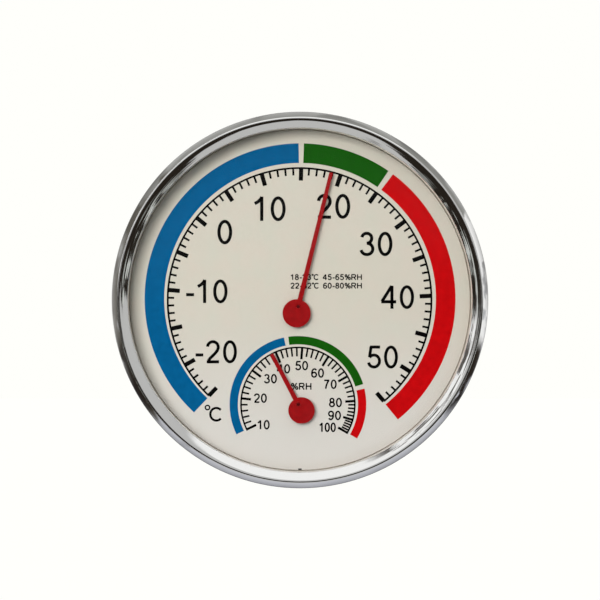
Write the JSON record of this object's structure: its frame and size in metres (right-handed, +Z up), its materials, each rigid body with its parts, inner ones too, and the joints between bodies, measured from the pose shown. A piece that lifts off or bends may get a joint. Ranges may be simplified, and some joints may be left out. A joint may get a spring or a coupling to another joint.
{
  "type": "dial hygrometer",
  "caption": "Round wall and desk gauge with a large temperature dial, a small humidity dial, red pointers behind a clear window, a bright bezel and a fold-out leg.",
  "frame": {"origin": "on the dial's axis, in the plane of the flat back that rests on the wall", "axes": "+Z up to 12 o'clock, the dial faces -Y, +X to the right for someone who reads the dial"},
  "size_m": [0.13, 0.024, 0.13],
  "materials": {
    "case_plastic": "fine spark-eroded texture",
    "bezel_chrome": "moulded ABS with bright mirror-smooth chrome plating",
    "lens_clear": "clear, polished",
    "spacer_plastic": "smooth satin",
    "dial_white": "matt off-white print ground",
    "screw_steel": "zinc plated",
    "bridge_steel": "stamped",
    "brass": "turned",
    "temperature_strip": "rolled bimetal",
    "humidity_strip": "coated foil",
    "arbor_steel": "ground",
    "pointer_red": "red enamel on aluminium"
  },
  "bodies": {
    "case": {"rear_case": "case_plastic", "bezel": "bezel_chrome", "lens": "lens_clear", "spacer_ring": "spacer_plastic", "dial_plate": "dial_white", "case_screws": "screw_steel", "bridge_screws": "screw_steel", "temperature_bush": "brass", "temperature_bridge": "bridge_steel", "temperature_anchor": "brass", "temperature_coil": "temperature_strip", "humidity_bush": "brass", "humidity_bridge": "bridge_steel", "humidity_anchor": "brass", "humidity_coil": "humidity_strip"},
    "temperature_hand": {"temperature_arbor": "arbor_steel", "temperature_collar": "brass", "temperature_collet": "pointer_red", "temperature_pointer": "pointer_red"},
    "humidity_hand": {"humidity_arbor": "arbor_steel", "humidity_collar": "brass", "humidity_collet": "pointer_red", "humidity_pointer": "pointer_red"},
    "stand": {"stand_leg": "case_plastic"}
  },
  "joints": [
    {"name": "temperature_turn", "type": "hinge", "parent": "case", "child": "temperature_hand", "pos_m": [-0.0006, -0.016, -0.0023], "axis": [0, 1, 0], "range_deg": [-148, 124], "stiffness_Nm_per_rad": 0.005, "deforming": ["temperature_coil"]},
    {"name": "humidity_turn", "type": "hinge", "parent": "case", "child": "humidity_hand", "pos_m": [-0.0006, -0.016, -0.0363], "axis": [0, 1, 0], "range_deg": [-88, 148], "stiffness_Nm_per_rad": 0.005, "deforming": ["humidity_coil"]},
    {"name": "stand_fold", "type": "hinge", "parent": "case", "child": "stand", "pos_m": [0, -0.00195, -0.008], "axis": [1, 0, 0], "range_deg": [0, 40]}
  ]
}
